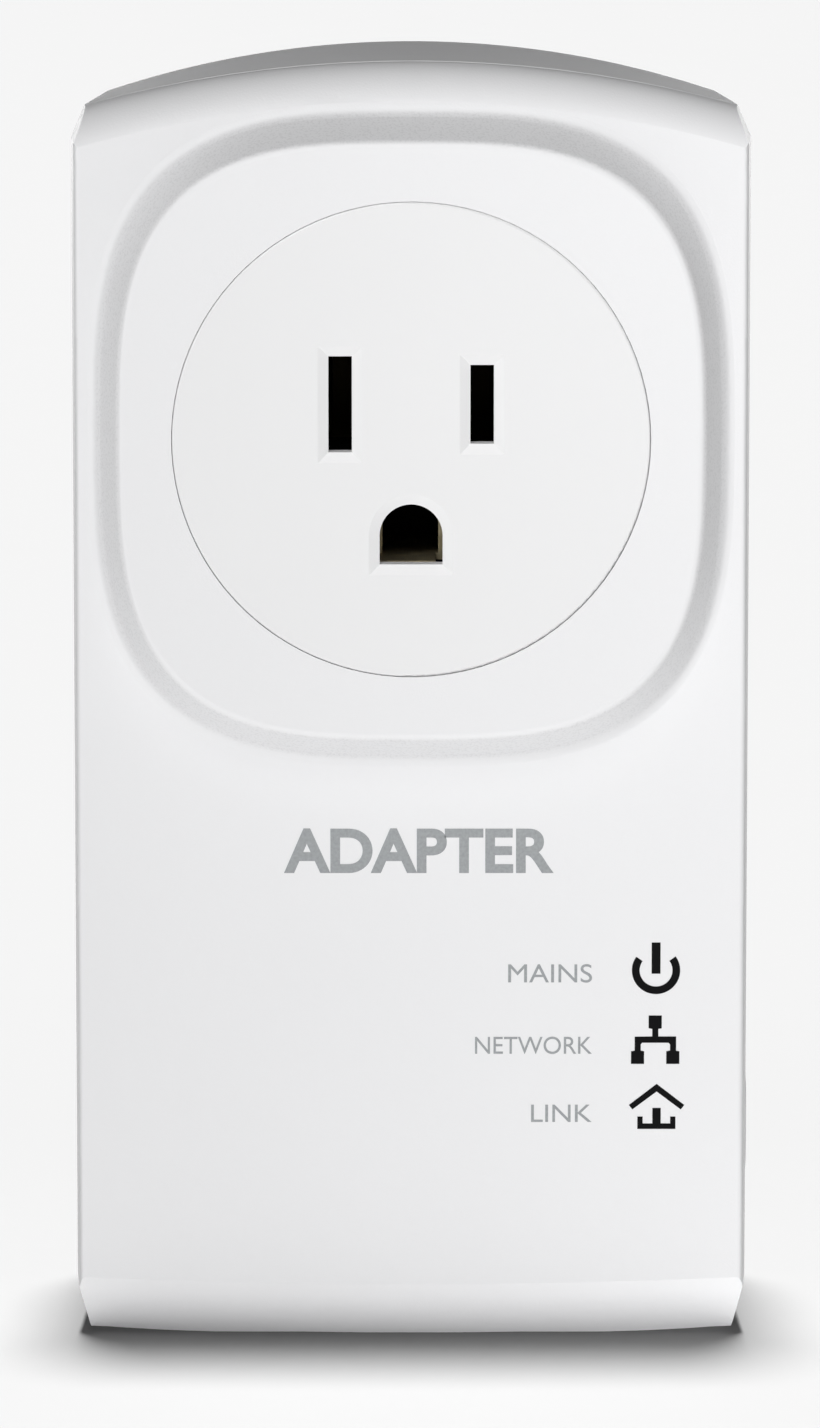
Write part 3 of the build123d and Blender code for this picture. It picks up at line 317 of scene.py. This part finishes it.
# Each slot's maker, and what it takes after the name, in the maker's order.
LOOKS = {
    "white_shell": (moulded_white, WHITE, (0.42, 0.52), 0.003, PAINTED_SIDE_SHADE),
    "outlet_white": (moulded_white, (0.858, 0.858, 0.862), (0.36, 0.44), 0.0025),
    "button_grey": (plain, (0.72, 0.72, 0.73), 0.02, (0.4, 0.5), 4000.0, 0.004),
    "housing_black": (plain, (0.005, 0.005, 0.0055), 0.12, (0.6, 0.75), 2500.0, 0.004, 0.12),
    "contact_brass": (metal, (0.6, 0.52, 0.34), (0.4, 0.55), ALONG_DEPTH, 0.002, 0.6),
    "plug_metal": (metal, (0.72, 0.70, 0.66), (0.2, 0.32), ALONG_DEPTH, 0.002, 0.85),
    "board_green": (board_mask,),
    "component_black": (plain, (0.025, 0.025, 0.027), 0.15, (0.45, 0.62), 3000.0, 0.006),
    "ferrite": (plain, (0.05, 0.05, 0.054), 0.2, (0.6, 0.78), 1800.0, 0.012),
    "winding": (wound, (0.5, 0.19, 0.06), (0.12, 0.035, 0.012), 0.45, "X", (0.22, 0.34), 0.12),
    "coil_tape": (wound, (0.68, 0.52, 0.08), (0.4, 0.28, 0.03), 3.4, "Z", (0.3, 0.42), 0.03),
    "can_sleeve": (plain, (0.015, 0.018, 0.05), 0.12, (0.22, 0.34), 900.0, 0.01),
    "capacitor_yellow": (plain, (0.64, 0.42, 0.05), 0.08, (0.38, 0.5), 2200.0, 0.005),
    "varistor_blue": (plain, (0.02, 0.08, 0.32), 0.15, (0.2, 0.32), 700.0, 0.02),
    "fuse_glass": (plain, (0.6, 0.62, 0.58), 0.08, (0.08, 0.18), 600.0, 0.003),
    "heat_sink_aluminium": (metal, (0.62, 0.63, 0.64), (0.32, 0.45), UPRIGHT, 0.004),
    "crystal_can": (metal, (0.68, 0.68, 0.66), (0.22, 0.34), ALONG_WIDTH),
    "insulation_film": (plain, (0.74, 0.74, 0.66), 0.05, (0.26, 0.38), 1200.0, 0.004),
    "jack_steel": (metal, (0.66, 0.66, 0.64), (0.24, 0.38), UPRIGHT, 0.003),
    "contact_gold": (metal, (0.9, 0.66, 0.24), (0.16, 0.28), UPRIGHT, 0.002, 0.85),
    "led_white": (plain, (0.78, 0.78, 0.6), 0.06, (0.15, 0.28), 3000.0, 0.002),
    "light_pipe": (plain, (0.82, 0.84, 0.85), 0.03, (0.08, 0.18), 1500.0, 0.002),
    "screw_steel": (metal, (0.55, 0.55, 0.54), (0.28, 0.42), (1, 1, 1), 0.004, 0.7),
    "label_paper": (pressed_paper, (0.78, 0.78, 0.765)),
}
materials = {slot: maker(slot, *numbers) for slot, (maker, *numbers) in LOOKS.items()}

# These nodes differ from the rest of their material slot: the cover's pad has a grained wall with
# painted shade on it, and the line and neutral contacts carry painted shade, a darker brass, so
# that the blade slots over them look dark.
cover_white = moulded_white("cover_white", WHITE, (0.4, 0.5), 0.0025, PAINTED_SIDE_SHADE, PAINTED_WALL_SHADE)
brass_painted_shade = metal("brass_painted_shade", (0.07, 0.055, 0.03), (0.5, 0.65), ALONG_DEPTH, tarnish=0.6)
special = {
    "front_cover": cover_white,
    "line_contact": brass_painted_shade,
    "neutral_contact": brass_painted_shade,
}

for entry in frame["record"]["subparts"]:
    slots = frame["nodes"][entry["node"]].data.materials
    slots.clear()
    slots.append(special.get(entry["node"], materials[entry["material_slot"]]))

# ---------------------------------------------------------------------------- printed marks
GREY_INK = ink("grey_ink", (0.345, 0.36, 0.37), gloss=0.4)
BLACK_INK = ink("black_ink", (0.006, 0.006, 0.0065), gloss=0.06)


def printed(name, mesh, material):
    """Hands a thin mesh on the cover's front to the adapter."""
    piece = bpy.data.objects.new(name, mesh)
    bpy.context.scene.collection.objects.link(piece)
    mesh.materials.clear()
    mesh.materials.append(material)
    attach(piece, ROOT)


def symbol(name, outlines):
    """Closed outlines in millimetres, x and the height above the base, as thin plates."""
    sheet = bmesh.new()
    for outline in outlines:
        ring = [sheet.verts.new((x * MM, FRONT_Y, BASE_Z + z * MM)) for x, z in outline]
        face = sheet.faces.new(ring)
        face.normal_update()
        if face.normal.y > 0:
            face.normal_flip()
        raised = bmesh.ops.extrude_face_region(sheet, geom=[face])["geom"]
        verts = [item for item in raised if isinstance(item, bmesh.types.BMVert)]
        bmesh.ops.translate(sheet, vec=(0, -PRINT_RISE, 0), verts=verts)
    bmesh.ops.recalc_face_normals(sheet, faces=sheet.faces)
    mesh = bpy.data.meshes.new(name)
    sheet.to_mesh(mesh)
    sheet.free()
    printed(name, mesh, BLACK_INK)


def lettering(name, words, left, right, foot, top, weight=0.0):
    """Words in the built-in letters, fitted between two x values and two heights above the base."""
    curve = bpy.data.curves.new(name, "FONT")
    curve.body = words
    curve.offset = weight
    curve.extrude = 0.01  # gives a front and a back, which PRINT_RISE then sets apart
    draft = bpy.data.objects.new(name + "_draft", curve)
    bpy.context.scene.collection.objects.link(draft)
    shaped = draft.evaluated_get(bpy.context.evaluated_depsgraph_get())
    mesh = bpy.data.meshes.new_from_object(shaped)
    bpy.data.objects.remove(draft)
    mesh.name = name
    xs = [vertex.co.x for vertex in mesh.vertices]
    ys = [vertex.co.y for vertex in mesh.vertices]
    wide = (right - left) / (max(xs) - min(xs))
    high = (top - foot) / (max(ys) - min(ys))
    for vertex in mesh.vertices:
        x, y, z = vertex.co
        across = left + (x - min(xs)) * wide
        up = foot + (y - min(ys)) * high
        rise = PRINT_RISE if z > 0 else 0.0
        vertex.co = (across * MM, FRONT_Y - rise, BASE_Z + up * MM)
    printed(name, mesh, GREY_INK)


def arc(centre, radius, start, end, steps=48):
    """Points on an arc from one angle to another, in degrees."""
    turns = [math.radians(start + (end - start) * i / steps) for i in range(steps + 1)]
    return [(centre[0] + radius * math.cos(a), centre[1] + radius * math.sin(a)) for a in turns]


def box_outline(left, right, foot, top):
    return [(left, foot), (right, foot), (right, top), (left, top)]


LABEL_RIGHT = 16.4
lettering("print_title", "ADAPTER", left=-11.5, right=12.9, foot=43.9, top=48.0, weight=0.03)
lettering("print_mains", "MAINS", left=8.8, right=LABEL_RIGHT, foot=33.8, top=35.5)
lettering("print_network", "NETWORK", left=5.8, right=LABEL_RIGHT, foot=27.2, top=28.8)
lettering("print_link", "LINK", left=10.9, right=LABEL_RIGHT, foot=20.9, top=22.5)

POWER_CENTRE = (22.2, 34.93)
POWER_RADII = (2.19, 1.49)
POWER_ENDS = (145, 396)  # angles between which the ring is open at the top
power_ring = arc(POWER_CENTRE, POWER_RADII[0], *POWER_ENDS)
power_ring += arc(POWER_CENTRE, POWER_RADII[1], *reversed(POWER_ENDS))
power_bar = box_outline(left=21.8, right=22.6, foot=34.62, top=37.5)
symbol("symbol_power", [power_ring, power_bar])

# Three boxes, one above and two below, joined by a forked line, as one outline.
TREE = [
    (21.55, 30.76), (21.55, 29.58), (21.88, 29.52), (21.88, 28.82), (20.29, 28.8), (20.29, 27.5),
    (19.96, 27.45), (19.96, 26.28), (21.15, 26.28), (21.15, 27.45), (20.84, 27.52), (20.84, 28.08),
    (20.96, 28.24), (23.36, 28.24), (23.5, 28.08), (23.5, 27.52), (23.16, 27.45), (23.16, 26.28),
    (24.35, 26.28), (24.35, 27.45), (24.05, 27.5), (24.05, 28.82), (22.43, 28.82), (22.43, 29.52),
    (22.74, 29.58), (22.74, 30.76),
]
symbol("symbol_network", [TREE])

ROOF = [(22.3, 24.43), (19.78, 22.47), (20.1, 22.06), (22.3, 23.72), (24.5, 22.06), (24.82, 22.47)]
WALLS = [
    (20.56, 21.4), (20.56, 20.25), (24.02, 20.25), (24.02, 21.4), (23.54, 21.4), (23.54, 20.76),
    (21.04, 20.76), (21.04, 21.4),
]
home_bar = box_outline(left=21.92, right=22.68, foot=20.76, top=22.2)
symbol("symbol_home", [ROOF, WALLS, home_bar])

# ---------------------------------------------------------------------------- studio
FLOOR_SIZE = 12.0
FLOOR_CENTRE_Y = 2.0
FLOOR_GREY = (0.25, 0.25, 0.25)
FOOT = Vector((0, 0, BASE_Z))  # the middle of the base
CENTRE = Vector((0, FRONT_Y, -25.5 * MM))  # the middle of the front
SHADOW_NODES = ("rear_casing", "line_blade", "neutral_blade", "ground_pin")

bpy.ops.mesh.primitive_plane_add(size=FLOOR_SIZE, location=(0, FLOOR_CENTRE_Y, BASE_Z))
floor = bpy.context.object
floor.name = "floor"
floor.data.materials.append(plain("floor", FLOOR_GREY, 0.003, (0.62, 0.7), 200.0, 0.0, gloss=0.0))
floor.visible_shadow = False  # the strips under it shine through
floor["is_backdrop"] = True


def light_group(name, objects):
    """A group that a light or its shadow can be limited to."""
    group = bpy.data.collections.new(name)
    for thing in objects:
        group.objects.link(thing)
    return group


lit_object = light_group("lit_object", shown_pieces())
lit_floor = light_group("lit_floor", [floor])
shades_floor = light_group("shades_floor", [frame["nodes"][node] for node in SHADOW_NODES])


def around(azimuth, elevation, distance, aim=CENTRE):
    """A place at a distance from a point; azimuth 0 is in front and 90 to the right."""
    turn, rise = math.radians(azimuth), math.radians(elevation)
    level = math.cos(rise)
    way = Vector((math.sin(turn) * level, -math.cos(turn) * level, math.sin(rise)))
    return aim + distance * way


def area(name, size, watts, shape="RECTANGLE"):
    data = bpy.data.lights.new(name, "AREA")
    data.shape = shape
    data.size, data.size_y = size
    data.energy = watts
    return data


def lamp(name, data, place, aim, receivers):
    """Hangs a light at a place, turned to its aim, for one group of objects."""
    light = bpy.data.objects.new(name, data)
    bpy.context.scene.collection.objects.link(light)
    light.location = place
    light.rotation_euler = (aim - place).to_track_quat("-Z", "Y").to_euler()
    light.light_linking.receiver_collection = receivers
    return light


def softbox(name, azimuth, elevation, size, watts, distance=1.2):
    place = around(azimuth, elevation, distance)
    lamp(name, area(name, size, watts), place, CENTRE, lit_object)


def near_strip(name, across, size, watts):
    """A small strip under the floor and in front of the base; it lifts the lower bevel.

    One that stands across millimetres to the side leans back a little towards the middle.
    """
    data = area(name, size, watts)
    data.cycles.use_multiple_importance_sampling = False  # only its direct rays pass the floor
    place = Vector((across, -50.0, -120.0)) * MM
    way = Vector((-0.25 * across, 20.0, 50.0)) * MM
    lamp(name, data, place, place + way, lit_object)


def feathered_spot(name, azimuth, elevation, watts, distance=1.5):
    """A large round light, aimed past the right side, that fades out towards the left one."""
    aim = Vector((0.116, FRONT_Y, 0.027))
    radius = 0.15  # where the light ends round its aim
    data = bpy.data.lights.new(name, "SPOT")
    data.energy = watts
    data.spot_size = 2 * math.atan(radius / distance)
    data.spot_blend = 0.27
    data.shadow_soft_size = 0.12
    lamp(name, data, around(azimuth, elevation, distance, aim), aim, lit_object)


def floor_light(name, elevation, shape, size, watts, distance=12.0):
    """A far light that only the floor gets; an elevation above 90 leans it back.

    The casing and the plug cast its shadow, but not the cover, which hangs over the floor and would
    darken it in a hard-edged strip.
    """
    place = around(0, elevation, distance, FOOT)
    light = lamp(name, area(name, size, watts, shape), place, FOOT, lit_floor)
    light.rotation_euler = (math.radians(90 - elevation), 0, 0)
    light.light_linking.blocker_collection = shades_floor


# The two upper boxes and the two spots light the front, and the rear boxes the sides and the roof.
softbox("top_box", azimuth=0, elevation=50, size=(0.6, 0.3), watts=1.65)
softbox("front_box", azimuth=0, elevation=35, size=(0.6, 0.3), watts=3.6)
softbox("rear_left_box", azimuth=-165, elevation=0, size=(0.6, 0.14), watts=1.7)
softbox("rear_right_box", azimuth=165, elevation=0, size=(0.6, 0.14), watts=1.7)
near_strip("near_strip", across=0, size=(0.16, 0.02), watts=0.0102)
near_strip("near_strip_right", across=40, size=(0.06, 0.02), watts=0.0063)
feathered_spot("key_spot", azimuth=-25, elevation=30, watts=34.8)
feathered_spot("side_spot", azimuth=-35, elevation=8, watts=14.1)
floor_light("floor_top_light", 96.1, "ELLIPSE", size=(1.8, 2.1), watts=4960.0)
floor_light("floor_front_light", 45, "RECTANGLE", size=(12.0, 6.0), watts=380.0)

world = bpy.data.worlds.new("studio")
bpy.context.scene.world = world
world.use_nodes = True
background = world.node_tree.nodes["Background"]
background.inputs["Color"].default_value = (1, 1, 1, 1)
background.inputs["Strength"].default_value = 0.04

# ---------------------------------------------------------------------------- camera
VIEW_ELEVATION = 9.5
VIEW_DISTANCE = 0.85
FOCUS = CENTRE + Vector((-0.1, 0.0, 0.05)) * MM
camera_data = bpy.data.cameras.new("camera")
camera_data.lens = 237.5
camera_data.sensor_width = 36.0
camera = bpy.data.objects.new("camera", camera_data)
bpy.context.scene.collection.objects.link(camera)
camera.location = around(0, VIEW_ELEVATION, VIEW_DISTANCE, FOCUS)
camera.rotation_euler = (math.radians(90 - VIEW_ELEVATION), 0, 0)
bpy.context.scene.camera = camera
bpy.context.scene.view_settings.view_transform = "Standard"
